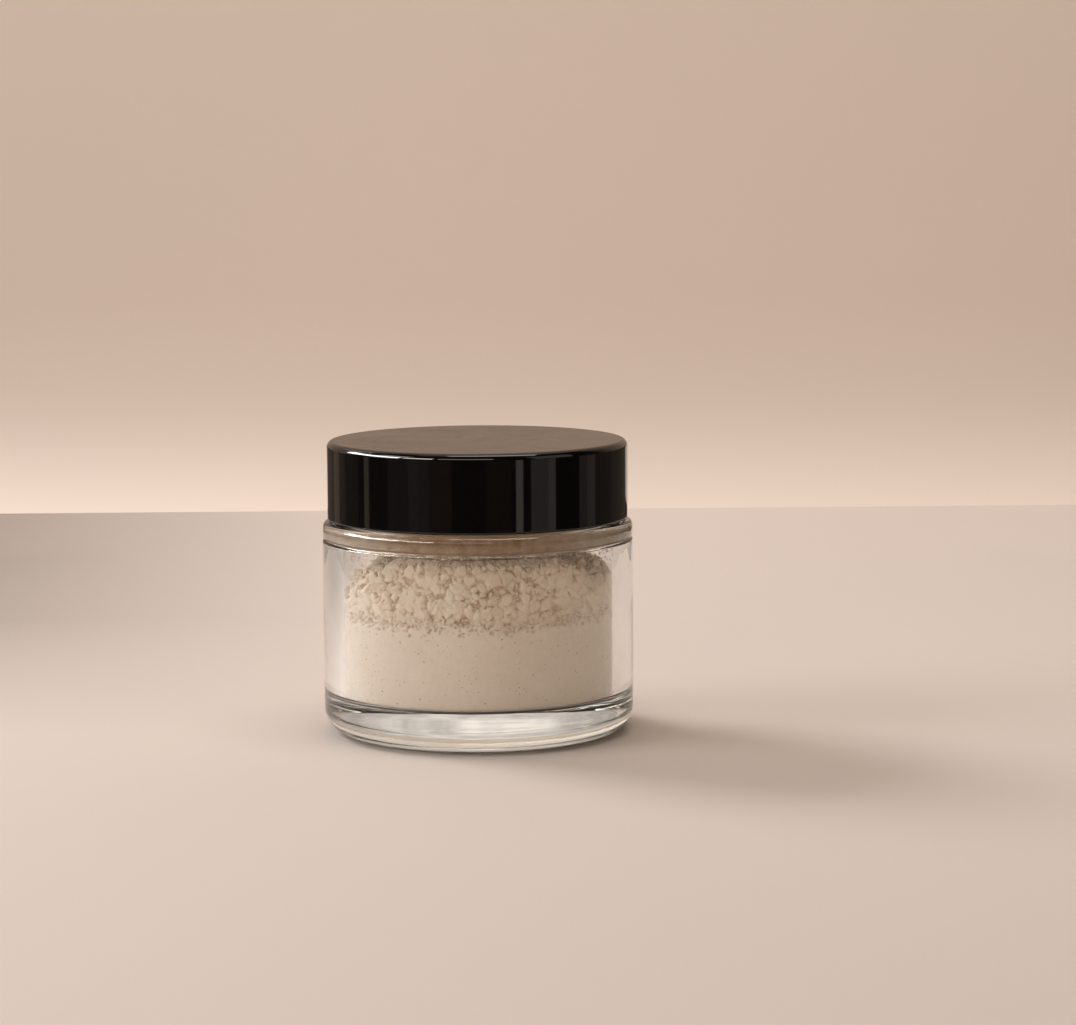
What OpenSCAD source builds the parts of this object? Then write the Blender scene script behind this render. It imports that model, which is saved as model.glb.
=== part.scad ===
// Powder jar: a thick clear glass jar with a screw neck, filled with loose
// powder that has clumped on top, and closed by a glossy double wall screw cap.
//
// Frame: millimetres, +Z up, origin in the middle of the ring the jar stands on.
// The jar, the neck, the cap and both threads share the Z axis. The cap is
// drawn closed. Turning it anticlockwise seen from above raises it by one
// thread pitch a turn.

/* [Jar] */
// Outside diameter of the glass body
body_d = 62; // [58:0.5:68]
// Height of the closed jar, from the table to the top of the cap
total_h = 58.5; // [54:0.5:66]
// Glass under the powder, at the middle of the floor
base_t = 7.7; // [5:0.1:10]
// Thickness of the side wall
wall_t = 4; // [3:0.25:4.5]
// Rounding where the side meets the underside
heel_r = 4.4; // [3:0.1:5.8]
// Depth of the hollow in the underside
punt_h = 2.1; // [0.6:0.1:2.2]
// Depth of the fine line round the shoulder
line_depth = 0.35; // [0.15:0.05:0.5]

/* [Cap] */
// How far the side of the cap stands in from the side of the glass
cap_inset = 1; // [0.5:0.1:1.5]
// Height of the cap
cap_h = 15.6; // [15.2:0.1:17]
// Wall of the outer shell
shell_t = 1.1; // [0.9:0.05:1.2]
// Rounding of the cap's top edge
cap_edge = 1.3; // [0.6:0.1:1.8]
// Thickness of the sealing disc
liner_t = 1.1; // [0.8:0.1:1.2]
// Number of ribs that centre the threaded insert in the shell
rib_count = 24; // [12:1:36]

/* [Thread] */
// Rise of the thread in one turn
pitch = 4.233; // [4:0.001:4.5]
// Turns of thread on the neck
neck_turns = 1.15; // [0.8:0.05:1.25]
// Turns of thread in the cap
cap_turns = 1.1; // [0.8:0.05:1.15]

/* [Powder] */
// Depth of the smooth packed powder
bed_h = 17.9; // [13:0.1:18.5]
// Height of the clumped powder above it
heap_h = 12.8; // [9:0.2:13]
// Mean radius of a clump
clump_r = 2.3; // [1.9:0.1:2.7]
// Choice of clump arrangement
clump_seed = 7; // [1:1:40]

/* [Hidden] */
$fn = 96;

body_r = body_d / 2;
inner_r = body_r - wall_t;          // inside of the side wall
floor_fillet = 1.2;                 // inside, floor to wall
ring_in = body_r - heel_r - 1.6;    // inner edge of the standing ring

cap_r = body_r - cap_inset;
cap_z = total_h - cap_h;            // bottom edge of the cap
shoulder_z = cap_z - 0.4;           // flat of the shoulder, just under the cap
shoulder_r = 1.3;                   // rounding of the shoulder's edge
line_z = shoulder_z - 3.4;          // fine line round the shoulder
line_w = 0.5;                       // half its width

shell_in = cap_r - shell_t;         // inside of the outer shell
top_in = total_h - 1.5;             // underside of the shell's top
insert_out = shell_in - 0.3;        // outside of the insert's wall
rib_out = shell_in - 0.05;          // tips of its ribs
root_r = insert_out - 0.95;         // inside of the insert's wall
cap_crest = root_r - 1;             // crest of the cap's thread
insert_z = cap_z + 0.4;             // bottom edge of the insert
plate_top = top_in - 0.05;
plate_z = plate_top - 1.2;          // underside of the insert's top plate

neck_r = root_r - 1.35;             // neck wall under the thread
neck_crest = root_r - 0.35;         // crest of the neck's thread
bore_r = neck_r - 2.8;              // mouth
liner_top = plate_z - 0.05;
liner_z = liner_top - liner_t;
rim_z = liner_z - 0.1;
lip_r = 0.8;
throat_z = shoulder_z + 1;          // where the narrowing under the neck ends
waist_z = shoulder_z - 4.5;         // where it starts

thread_top = rim_z - 2.1;           // middle of the top of the neck's thread
thread_low = thread_top - neck_turns * pitch;
follow = 1.47;                      // the cap's thread runs this far under the neck's
cap_thread_low = insert_z + 1.7;

bed_r = inner_r - 0.15;             // dry powder leaves a film of air at the glass
bed_z = base_t + 0.1;
bed_top = base_t + bed_h;
heap_top = bed_top + heap_h;

// Points along an arc
function arc(x, y, r, a0, a1, n = 9) =
    [for (i = [0:n]) let (a = a0 + (a1 - a0) * i / n) [x + r * cos(a), y + r * sin(a)]];

// Inside of the glass at a height between the waist and the throat
function throat(z) = let (t = min(1, max(0, (z - waist_z) / (throat_z - waist_z))))
    bore_r + (inner_r - bore_r) * (1 + cos(180 * t)) / 2;

// A helical ridge of trapezoid section on the wall r0, with its crest at r1,
// which may lie outside or inside the wall. Its foot is sunk in the wall, and
// at both ends the crest dives into the wall.
module ridge(r0, r1, foot, slope, z0, a0, turns, sink = 0.45, lead = 30, step = 5) {
    s = sign(r1 - r0);
    n = ceil(turns * 360 / step);
    function crest(a) = let (e = min(a, turns * 360 - a) / lead, f = min(1, max(0, e)))
        (r1 - r0 + s * 0.25) * sqrt(f * (2 - f)) - s * 0.25;
    function half(d) = foot - slope * s * d;
    function ring(a) = let (
        d = crest(a), z = z0 + pitch * a / 360, h0 = half(-s * sink), h1 = half(d))
        [for (p = [[-s * sink, -h0], [d, -h1], [d, h1], [-s * sink, h0]])
            [(r0 + p[0]) * cos(a + a0), (r0 + p[0]) * sin(a + a0), z + p[1]]];
    pts = [for (i = [0:n]) each ring(turns * 360 * i / n)];
    function quad(a, b, c, d) = s > 0 ? [[a, b, c], [a, c, d]] : [[a, c, b], [a, d, c]];
    faces = concat(
        [for (i = [0:n - 1], k = [0:3]) let (j = (k + 1) % 4)
            each quad(4 * i + k, 4 * i + j, 4 * i + 4 + j, 4 * i + 4 + k)],
        quad(3, 2, 1, 0),
        quad(4 * n, 4 * n + 1, 4 * n + 2, 4 * n + 3));
    polyhedron(points = pts, faces = faces, convexity = 6);
}

// One rounded lump of powder: the hull of points scattered on a squashed ball
module clump(p, r, seed) {
    n = 12;
    u = rands(0.82, 1, n + 3, seed);
    w = rands(-9, 9, 2 * n + 1, seed + 500);
    pts = [for (i = [0:n - 1]) let (
        q = acos(1 - 2 * (i + 0.5) / n) + w[i], f = 137.5 * i + w[n + i] + 40 * seed,
        k = r * u[i])
        [k * sin(q) * cos(f) * (2 * u[n] - 0.75), k * sin(q) * sin(f), k * cos(q) * (1.6 * u[n + 1] - 0.55)]];
    translate(p) rotate([0, 0, 360 * (u[n + 2] - 0.8) * 5])
        hull() polyhedron(points = pts, faces = [[for (i = [0:n - 1]) i]]);
}

module glass_jar() {
    color([0.86, 0.9, 0.88, 0.35])
    union() {
        rotate_extrude() polygon(concat(
            // hollow of the underside, flat with a rounded edge
            [[0, punt_h]],
            [for (i = [3:14]) let (t = i / 14, u = 1 - (1 - t) * (1 - t)) [ring_in * u, punt_h * (1 - pow(u, 20))]],
            // heel
            arc(body_r - heel_r, heel_r, heel_r, -90, 0, 12),
            // fine line round the shoulder
            [for (i = [0:6]) let (t = -1 + i / 3)
                [body_r - line_depth * (1 - t * t), line_z + line_w * t]],
            arc(body_r - shoulder_r, shoulder_z - shoulder_r, shoulder_r, 0, 90, 7),
            // foot of the neck, then its lip
            arc(neck_r + 0.8, shoulder_z + 0.8, 0.8, 270, 180, 5),
            arc(neck_r - lip_r, rim_z - lip_r, lip_r, 0, 90, 6),
            arc(bore_r + lip_r, rim_z - lip_r, lip_r, 90, 180, 6),
            // throat
            [for (i = [0:12]) let (z = throat_z + (waist_z - throat_z) * i / 12) [throat(z), z]],
            // inside corner of the floor
            arc(inner_r - floor_fillet, base_t + floor_fillet, floor_fillet, 0, -90, 10),
            [[0, base_t]]));
        ridge(neck_r, neck_crest, 1.15, 0.65, thread_low, 20, neck_turns);
    }
}

module powder_bed() {
    color([0.87, 0.78, 0.68])
    rotate_extrude() polygon(concat(
        [[0, bed_z]],
        arc(bed_r - floor_fillet, bed_z + floor_fillet, floor_fillet, -90, 0, 10),
        [[bed_r, bed_top - 0.05], [0, bed_top - 0.05]]));
}

module powder_clumps() {
    rows = 4;
    round = 18;
    color([0.82, 0.71, 0.6])
    intersection() {
        // the room inside the glass
        rotate_extrude() polygon(concat(
            [[0, bed_top], [bed_r, bed_top], [bed_r, bed_top + heap_h * 0.5]],
            [for (i = [0:6]) let (z = bed_top + heap_h * (0.5 + i / 12))
                [min(bed_r, throat(z) - 0.35), z]],
            [[0, heap_top]]));
        union() {
            // the mass behind the clumps
            rotate_extrude($fn = 60) polygon([
                [0, bed_top - 1], [bed_r - 1.1, bed_top - 1], [bed_r - 1.1, bed_top + heap_h * 0.34],
                [bed_r - 2.6, bed_top + heap_h * 0.56], [bed_r - 6.5, bed_top + heap_h * 0.74],
                [bed_r - 14, bed_top + heap_h * 0.84], [0, bed_top + heap_h * 0.88]]);
            // clumps against the glass
            for (j = [0:rows - 1], i = [0:round - 1]) let (
                s = clump_seed * 1000 + 40 * j + i, v = rands(-1, 1, 4, s),
                a = (i + 0.5 * (j % 2)) * 360 / round + 6 * v[0],
                r = clump_r * (1 + 0.28 * v[1]),
                z = bed_top + heap_h * (0.07 + 0.2 * j) + 0.8 * v[2],
                d = bed_r - 0.75 * r - (j > 1 ? (j - 1) * 1.5 : 0) - 0.5 * v[3])
                clump([d * cos(a), d * sin(a), z], r, s);
            // clumps on top
            for (i = [0:21]) let (
                s = clump_seed * 1000 + 700 + i, v = rands(-1, 1, 3, s),
                a = 137.5 * i, d = (bed_r - 5) * sqrt((i + 0.5) / 22),
                r = clump_r * (1.15 + 0.3 * v[1]),
                z = bed_top + heap_h * (0.88 - 0.2 * pow(d / bed_r, 2)) - 0.45 * r + 0.5 * v[2])
                clump([d * cos(a), d * sin(a), z], r, s);
        }
    }
}

module cap_shell() {
    color([0.02, 0.02, 0.022])
    rotate_extrude() polygon(concat(
        // outside, up from the bottom edge
        arc(cap_r - 0.35, cap_z + 0.35, 0.35, -90, 0, 4),
        arc(cap_r - cap_edge, total_h - cap_edge, cap_edge, 0, 90, 9),
        [[0, total_h], [0, top_in]],
        arc(shell_in - 0.6, top_in - 0.6, 0.6, 90, 0, 4),
        // snap bead under the insert
        [[shell_in, cap_z + 0.6], [shell_in - 0.3, cap_z + 0.34], [shell_in - 0.3, cap_z + 0.2],
         [shell_in - 0.1, cap_z]]));
}

module cap_insert() {
    color([0.07, 0.07, 0.075])
    union() {
        rotate_extrude() polygon([
            [root_r + 0.25, insert_z], [rib_out, insert_z], [rib_out, insert_z + 0.9],
            [insert_out, insert_z + 1.2], [insert_out, plate_top - 0.7], [insert_out - 0.7, plate_top],
            [0, plate_top], [0, plate_z], [root_r, plate_z], [root_r, insert_z + 0.25]]);
        // ribs
        for (i = [0:rib_count - 1]) rotate([0, 0, 360 * i / rib_count])
            translate([insert_out - 0.4, -0.4, insert_z + 0.6])
                cube([rib_out - insert_out + 0.4, 0.8, plate_top - insert_z - 1.6]);
        ridge(root_r, cap_crest, 1, 0.6, cap_thread_low,
            20 + 360 * (cap_thread_low - (thread_low - follow)) / pitch, cap_turns);
    }
}

module cap_liner() {
    color([0.9, 0.89, 0.86])
    rotate_extrude() polygon(concat(
        [[0, liner_z]], arc(root_r - 0.45, liner_z + 0.2, 0.2, -90, 0, 3),
        arc(root_r - 0.45, liner_top - 0.2, 0.2, 0, 90, 3), [[0, liner_top]]));
}

glass_jar();
powder_bed();
powder_clumps();
cap_shell();
cap_insert();
cap_liner();
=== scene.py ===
"""Powder jar: a thick clear glass jar of clumped powder under a glossy black screw cap.

Metres, +Z up, origin in the middle of the ring the jar stands on. Profiles are
worked out in millimetres from the CAD nodes' boxes.
"""

import math

import bpy
import numpy as np
from mathutils import Matrix, Vector


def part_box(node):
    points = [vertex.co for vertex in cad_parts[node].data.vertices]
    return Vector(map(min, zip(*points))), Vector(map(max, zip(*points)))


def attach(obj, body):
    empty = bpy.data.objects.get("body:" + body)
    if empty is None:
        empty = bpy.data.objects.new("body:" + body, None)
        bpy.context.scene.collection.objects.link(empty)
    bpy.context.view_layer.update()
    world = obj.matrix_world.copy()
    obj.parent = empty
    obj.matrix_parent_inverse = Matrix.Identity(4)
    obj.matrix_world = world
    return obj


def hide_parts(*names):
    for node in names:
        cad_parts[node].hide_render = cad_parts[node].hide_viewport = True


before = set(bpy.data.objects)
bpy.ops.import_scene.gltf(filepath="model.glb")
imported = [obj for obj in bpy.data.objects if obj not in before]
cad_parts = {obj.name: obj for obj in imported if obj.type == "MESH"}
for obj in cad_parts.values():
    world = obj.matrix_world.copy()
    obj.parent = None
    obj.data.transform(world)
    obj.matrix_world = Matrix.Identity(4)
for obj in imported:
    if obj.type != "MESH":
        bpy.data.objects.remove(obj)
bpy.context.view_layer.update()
MM = 0.001
TAU = 2 * math.pi


def mm_box(node):
    lo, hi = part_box(node)
    return np.array(lo) / MM, np.array(hi) / MM


# ---------------------------------------------------------------- sizes, mm
JAR_LO, JAR_HI = mm_box("glass_jar")
CAP_LO, CAP_HI = mm_box("cap_shell")
BED_LO, BED_HI = mm_box("powder_bed")
HEAP_LO, HEAP_HI = mm_box("powder_clumps")
LINER_LO, LINER_HI = mm_box("cap_liner")
INS_LO, INS_HI = mm_box("cap_insert")

BODY_R = JAR_HI[0]
RIM_Z = JAR_HI[2]
CAP_R, CAP_Z, CAP_TOP = CAP_HI[0], CAP_LO[2], CAP_HI[2]
SHOULDER_Z = CAP_Z - 0.4
INNER_R = BED_HI[0] + 0.15
FLOOR_Z = BED_LO[2] - 0.1
HEEL = 5.2
RING_IN = BODY_R - HEEL - 1.3
PUNT = 2.4
FILLET = 1.2
LINE_Z, LINE_W, LINE_D = SHOULDER_Z - 3.4, 0.5, 0.35
SHELL_IN = INS_HI[0] + 0.05
ROOT_R = SHELL_IN - 0.3 - 0.95
NECK_R, NECK_CREST = ROOT_R - 1.35, ROOT_R - 0.35
BORE_R = NECK_R - 2.8
THROAT_Z, WAIST_Z = SHOULDER_Z + 1.0, SHOULDER_Z - 4.5
PITCH, NECK_TURNS = 4.233, 1.15
THREAD_LOW = RIM_Z - 2.1 - NECK_TURNS * PITCH
BED_R = BED_HI[0]
BED_TOP = HEAP_LO[2]
HEAP_TOP = HEAP_HI[2]


# ---------------------------------------------------------------- mesh tools
def new_mesh(name, verts, faces, smooth=True):
    me = bpy.data.meshes.new(name)
    me.from_pydata([tuple(v) for v in verts], [], [tuple(f) for f in faces])
    me.update()
    ob = bpy.data.objects.new(name, me)
    bpy.context.scene.collection.objects.link(ob)
    if smooth:
        me.polygons.foreach_set("use_smooth", [True] * len(me.polygons))
    return ob


def fast_mesh(name, verts, faces, smooth=True):
    """A mesh from numpy arrays: verts (n, 3) in mm, faces a list of (m, k) arrays."""
    me = bpy.data.meshes.new(name)
    verts = np.asarray(verts, np.float32) * MM
    me.vertices.add(len(verts))
    me.vertices.foreach_set("co", verts.ravel())
    loops = np.concatenate([f.ravel() for f in faces]).astype(np.int32)
    totals = np.concatenate([np.full(len(f), f.shape[1], np.int32) for f in faces])
    starts = np.concatenate([[0], np.cumsum(totals)[:-1]]).astype(np.int32)
    me.loops.add(len(loops))
    me.loops.foreach_set("vertex_index", loops)
    me.polygons.add(len(totals))
    me.polygons.foreach_set("loop_start", starts)
    me.polygons.foreach_set("loop_total", totals)
    if smooth:
        me.polygons.foreach_set("use_smooth", np.ones(len(totals), bool))
    me.update(calc_edges=True)
    me.validate()
    ob = bpy.data.objects.new(name, me)
    bpy.context.scene.collection.objects.link(ob)
    return ob


def arc(x, y, r, a0, a1, n):
    return [
        (x + r * math.cos(math.radians(a0 + (a1 - a0) * i / n)),
         y + r * math.sin(math.radians(a0 + (a1 - a0) * i / n)))
        for i in range(n + 1)
    ]


def spaced(points, longest, edge=0.12):
    """Fills long straight stretches of a profile, with a point close to each end
    of them, so that smooth shading doesn't run over the flats."""
    out = [points[0]]
    for p, q in zip(points[:-1], points[1:]):
        d = math.dist(p, q)
        if d < 1e-6:
            continue
        ts = [1.0]
        if d > 4 * edge and d > longest:
            n = max(1, math.ceil(d / longest))
            ts = sorted({edge / d, 1 - edge / d, 1.0, *[i / n for i in range(1, n)]})
            ts = [t for i, t in enumerate(ts) if t == 1.0 or t >= edge / d - 1e-9]
        out += [(p[0] + (q[0] - p[0]) * t, p[1] + (q[1] - p[1]) * t) for t in ts]
    return out


def lathe(name, profile, seg, warp=None):
    """A closed turned solid. The profile runs from the axis, out, up and back to
    the axis. warp(theta, r, z) gives each ring's own radius and height."""
    prof = list(profile)
    start, end = prof[0][0] < 1e-6, prof[-1][0] < 1e-6
    rings = prof[1 if start else 0 : -1 if end else None]
    th = np.arange(seg) * TAU / seg
    verts, faces = [], []
    for r, z in rings:
        rr, zz = np.full(seg, float(r)), np.full(seg, float(z))
        if warp:
            rr, zz = warp(th, rr, zz)
        verts.append(np.stack([rr * np.cos(th), rr * np.sin(th), zz], 1))
    v = np.concatenate(verts)
    n = len(rings)
    j = np.arange(seg)
    k = (j + 1) % seg
    quads = [np.stack([i * seg + j, i * seg + k, (i + 1) * seg + k, (i + 1) * seg + j], 1) for i in range(n - 1)]
    if not start and not end:  # a ring: close the profile on itself
        i = n - 1
        quads.append(np.stack([i * seg + j, i * seg + k, k, j], 1))
    faces.append(np.concatenate(quads))
    tris = []
    if start:
        c = len(v)
        v = np.concatenate([v, [[0, 0, prof[0][1]]]])
        tris.append(np.stack([np.full(seg, c), k, j], 1))
    if end:
        c = len(v)
        v = np.concatenate([v, [[0, 0, prof[-1][1]]]])
        i = (n - 1) * seg
        tris.append(np.stack([np.full(seg, c), i + j, i + k], 1))
    if tris:
        faces.append(np.concatenate(tris))
    return fast_mesh(name, v, faces)


def wave(seed, lo, hi, count=7):
    """A smooth random function of an angle, from -1 to 1, that closes on itself."""
    g = np.random.default_rng(seed)
    k = g.integers(lo, hi + 1, count)
    p = g.uniform(0, TAU, count)
    a = g.uniform(0.5, 1, count)
    a /= a.sum()
    return lambda t: sum(ai * np.sin(ki * t + pi) for ai, ki, pi in zip(a, k, p)) * 1.6


def value_noise(seed):
    """Vectorised lattice noise in 3-D, from -1 to 1."""
    g = np.random.default_rng(seed)
    table = g.uniform(-1, 1, 4096)

    def f(p):
        p = np.asarray(p, float)
        i = np.floor(p).astype(int)
        w = p - i
        w = w * w * w * (w * (w * 6 - 15) + 10)
        total = 0
        for dx in (0, 1):
            for dy in (0, 1):
                for dz in (0, 1):
                    h = ((i[:, 0] + dx) * 73856093) ^ ((i[:, 1] + dy) * 19349663) ^ ((i[:, 2] + dz) * 83492791)
                    c = table[h & 4095]
                    total = total + c * (
                        (w[:, 0] if dx else 1 - w[:, 0])
                        * (w[:, 1] if dy else 1 - w[:, 1])
                        * (w[:, 2] if dz else 1 - w[:, 2])
                    )
        return total

    return f


def soft_cap(d, h, s):
    """d where it is well under h, and easing to h over the last s."""
    x = (d - (h - s)) / s
    return np.where(x > 0, h - s + s * np.tanh(np.maximum(x, 0)), d)


# ---------------------------------------------------------------- node tools
class Mat:
    def __init__(self, name):
        self.m = bpy.data.materials.new(name)
        self.m.use_nodes = True
        self.nt = self.m.node_tree
        self.nt.nodes.clear()
        self.out = self.nt.nodes.new("ShaderNodeOutputMaterial")

    def node(self, kind, **values):
        n = self.nt.nodes.new("ShaderNode" + kind)
        for k, v in values.items():
            if hasattr(n, k) and not isinstance(getattr(type(n), k, None), property) and k in n.bl_rna.properties:
                setattr(n, k, v)
            else:
                n.inputs[k.replace("_", " ")].default_value = v
        return n

    def link(self, a, b):
        self.nt.links.new(a, b)

    def coords(self, scale=1.0):
        t = self.node("TexCoord")
        m = self.node("Mapping")
        m.inputs["Scale"].default_value = (scale,) * 3
        self.link(t.outputs["Object"], m.inputs["Vector"])
        return m.outputs["Vector"]

    def noise(self, vec, scale, detail=4.0, rough=0.55, distortion=0.0):
        n = self.node("TexNoise")
        n.inputs["Scale"].default_value = scale
        n.inputs["Detail"].default_value = detail
        n.inputs["Roughness"].default_value = rough
        n.inputs["Distortion"].default_value = distortion
        self.link(vec, n.inputs["Vector"])
        return n.outputs["Fac"]

    def ramp(self, fac, stops, interpolation="LINEAR"):
        n = self.node("ValToRGB")
        n.color_ramp.interpolation = interpolation
        e = n.color_ramp.elements
        while len(e) < len(stops):
            e.new(0.5)
        for el, (pos, col) in zip(e, stops):
            el.position = pos
            el.color = (*col, 1.0) if len(col) == 3 else col
        self.link(fac, n.inputs["Fac"])
        return n.outputs["Color"]

    def gray(self, fac, stops):
        return self.ramp(fac, [(p, (v, v, v)) for p, v in stops])

    def math(self, op, a, b=None, c=None, clamp=False):
        n = self.node("Math")
        n.operation = op
        n.use_clamp = clamp
        for s, v in zip(n.inputs, (a, b, c)):
            if v is None:
                continue
            if isinstance(v, (int, float)):
                s.default_value = v
            else:
                self.link(v, s)
        return n.outputs[0]

    def mix(self, fac, a, b, mode="MIX"):
        n = self.node("Mix")
        n.data_type = "RGBA"
        n.blend_type = mode
        for s, v in ((n.inputs[0], fac), (n.inputs[6], a), (n.inputs[7], b)):
            if isinstance(v, (int, float)):
                s.default_value = v
            elif isinstance(v, tuple):
                s.default_value = (*v, 1.0) if len(v) == 3 else v
            else:
                self.link(v, s)
        return n.outputs[2]

    def bump(self, height, strength, distance, normal=None):
        n = self.node("Bump")
        n.inputs["Strength"].default_value = strength
        n.inputs["Distance"].default_value = distance
        self.link(height, n.inputs["Height"])
        if normal is not None:
            self.link(normal, n.inputs["Normal"])
        return n.outputs["Normal"]

    def bsdf(self, **values):
        n = self.node("BsdfPrincipled")
        for k, v in values.items():
            s = n.inputs[k.replace("_", " ")]
            if isinstance(v, (int, float)):
                s.default_value = v
            elif isinstance(v, tuple):
                s.default_value = (*v, 1.0) if len(v) == 3 and s.type == "RGBA" else v
            else:
                self.link(v, s)
        return n


def give(ob, mat):
    ob.data.materials.clear()
    ob.data.materials.append(mat)


# ---------------------------------------------------------------- materials
def glass_material():
    m = Mat("clear_glass")
    v = m.coords(1000.0)
    # faint waviness of pressed glass, and a few handling marks
    height = m.noise(v, 0.11, 2.0, 0.4)
    normal = m.bump(height, 0.05, 0.0012)
    rough = m.gray(m.noise(v, 0.35, 5.0, 0.6, 0.6), [(0.5, 0.0), (0.85, 0.012)])
    b = m.bsdf(Base_Color=(1.0, 1.0, 1.0), IOR=1.5, Transmission_Weight=1.0, Roughness=rough, Normal=normal)
    lamp = m.node("LightPath")
    clear = m.node("BsdfTransparent")
    # the rounded heel bends most light away, which shades the floor beside it
    height_up = m.node("SeparateXYZ")
    m.link(v, height_up.inputs[0])
    m.link(m.ramp(m.math("MULTIPLY", height_up.outputs["Z"], 0.1), [(0.20, (0.20, 0.185, 0.17)), (0.92, (0.905, 0.91, 0.905))]), clear.inputs["Color"])
    either = m.math("MAXIMUM", lamp.outputs["Is Shadow Ray"], lamp.outputs["Is Diffuse Ray"])
    mix = m.node("MixShader")
    m.link(either, mix.inputs[0])
    m.link(b.outputs[0], mix.inputs[1])
    m.link(clear.outputs[0], mix.inputs[2])
    m.link(mix.outputs[0], m.out.inputs["Surface"])
    tint = m.node("VolumeAbsorption")
    tint.inputs["Color"].default_value = (0.72, 0.84, 0.74, 1)
    tint.inputs["Density"].default_value = 6.0
    m.link(tint.outputs[0], m.out.inputs["Volume"])
    return m.m


def powder_material(name, base, deep, specks):
    """Fine dry powder: matt, with a soft grain, faint mottling and dark specks."""
    m = Mat(name)
    v = m.coords(1000.0)
    broad = m.noise(v, 0.10, 3.0, 0.5)
    mottle = m.noise(v, 0.9, 5.0, 0.6)
    col = m.mix(m.gray(broad, [(0.35, 0.0), (0.7, 1.0)]), base, deep)
    col = m.mix(m.gray(mottle, [(0.4, 0.0), (0.75, 0.55)]), col, tuple(c * f for c, f in zip(deep, (0.97, 0.93, 0.88))))
    # The per-point attribute read here darkens the powder to a deep brown: partly its own uneven tone, partly painted
    # shade in pits, gaps, creases and under the cap.
    tone_and_shade = m.node("Attribute")
    tone_and_shade.attribute_name = "tone_and_shade"
    col = m.mix(tone_and_shade.outputs["Fac"], col, tuple(c * f for c, f in zip(deep, (0.56, 0.40, 0.26))))
    for scale, size, seed_scale in ((0.55, 0.10, 0.23), (1.0, 0.13, 0.31)) if specks else ():
        cell = m.node("TexVoronoi")
        cell.inputs["Scale"].default_value = scale
        cell.inputs["Randomness"].default_value = 1.0
        m.link(v, cell.inputs["Vector"])
        dot = m.gray(cell.outputs["Distance"], [(size * 0.5, 1.0), (size * 1.3, 0.0)])
        pick = m.gray(m.noise(v, seed_scale, 1.0), [(0.42, 0.0), (0.6, 1.0)])
        col = m.mix(m.math("MULTIPLY", m.math("MULTIPLY", dot, pick), specks), col, (0.36, 0.20, 0.11))
    grain = m.noise(v, 9.0, 3.0, 0.7)
    lumps = m.noise(v, 2.2, 5.0, 0.65)
    n1 = m.bump(lumps, 0.35, 0.00035)
    n2 = m.bump(grain, 0.35, 0.00012, n1)
    rough = m.gray(grain, [(0.3, 0.85), (0.7, 1.0)])
    b = m.bsdf(Base_Color=col, Roughness=rough, Specular_IOR_Level=0.2, Sheen_Weight=0.06, Sheen_Roughness=0.6, Normal=n2)
    b.inputs["Subsurface Weight"].default_value = 0.18
    b.inputs["Subsurface Radius"].default_value = (1.0, 0.7, 0.5)
    b.inputs["Subsurface Scale"].default_value = 0.0011
    m.link(b.outputs[0], m.out.inputs["Surface"])
    return m.m


def cap_material():
    """Polished black moulding with fine rub marks, and a little dust where it faces up."""
    m = Mat("gloss_black")
    v = m.coords(1000.0)
    geo = m.node("NewGeometry")
    xyz = m.node("SeparateXYZ")
    m.link(geo.outputs["Normal"], xyz.inputs[0])
    up = m.gray(xyz.outputs["Z"], [(0.6, 0.0), (0.95, 1.0)])
    # rub marks: noise stretched round the axis
    t = m.node("TexCoord")
    p = m.node("SeparateXYZ")
    m.link(t.outputs["Object"], p.inputs[0])
    ang = m.math("ARCTAN2", p.outputs["Y"], p.outputs["X"])
    rad = m.math("SQRT", m.math("ADD", m.math("MULTIPLY", p.outputs["X"], p.outputs["X"]), m.math("MULTIPLY", p.outputs["Y"], p.outputs["Y"])))
    swirl = m.node("CombineXYZ")
    m.link(m.math("MULTIPLY", ang, 1.6), swirl.inputs[0])
    m.link(m.math("MULTIPLY", rad, 1500.0), swirl.inputs[1])
    m.link(m.math("MULTIPLY", p.outputs["Z"], 300.0), swirl.inputs[2])
    rub = m.noise(swirl.outputs[0], 1.6, 6.0, 0.62, 0.3)
    smudge = m.noise(v, 0.07, 5.0, 0.62, 0.8)
    fine = m.noise(v, 3.0, 4.0, 0.6)
    side_rough = m.gray(m.noise(v, 0.12, 4.0, 0.6), [(0.3, 0.035), (0.75, 0.075)])
    top_rough = m.mix(0.5, m.gray(smudge, [(0.35, 0.10), (0.7, 0.27)]), m.gray(rub, [(0.35, 0.10), (0.7, 0.24)]))
    rough = m.mix(up, side_rough, top_rough)
    dust_n = m.math("MULTIPLY", m.gray(m.noise(v, 6.0, 2.0, 0.8), [(0.62, 0.0), (0.78, 1.0)]), m.gray(smudge, [(0.35, 0.1), (0.7, 1.0)]))
    film = m.math("MULTIPLY", up, m.gray(smudge, [(0.3, 0.006), (0.75, 0.026)]))
    dust = m.math("ADD", film, m.math("MULTIPLY", dust_n, m.math("MULTIPLY_ADD", up, 0.10, 0.006)), clamp=True)
    col = m.mix(dust, (0.0035, 0.003, 0.003), (0.62, 0.50, 0.40))
    normal = m.bump(m.math("ADD", m.math("MULTIPLY", fine, 0.4), rub), 0.04, 0.00006)
    b = m.bsdf(Base_Color=col, Roughness=rough, IOR=1.5, Normal=normal)
    m.link(b.outputs[0], m.out.inputs["Surface"])
    return m.m


def insert_material():
    m = Mat("insert_black")
    v = m.coords(1000.0)
    flow = m.noise(v, 0.25, 4.0, 0.55, 0.5)
    grain = m.noise(v, 5.0, 4.0, 0.6)
    col = m.ramp(flow, [(0.3, (0.022, 0.022, 0.024)), (0.75, (0.036, 0.035, 0.036))])
    rough = m.gray(flow, [(0.3, 0.34), (0.75, 0.48)])
    b = m.bsdf(Base_Color=col, Roughness=rough, IOR=1.5, Normal=m.bump(grain, 0.15, 0.00008))
    m.link(b.outputs[0], m.out.inputs["Surface"])
    return m.m


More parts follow.
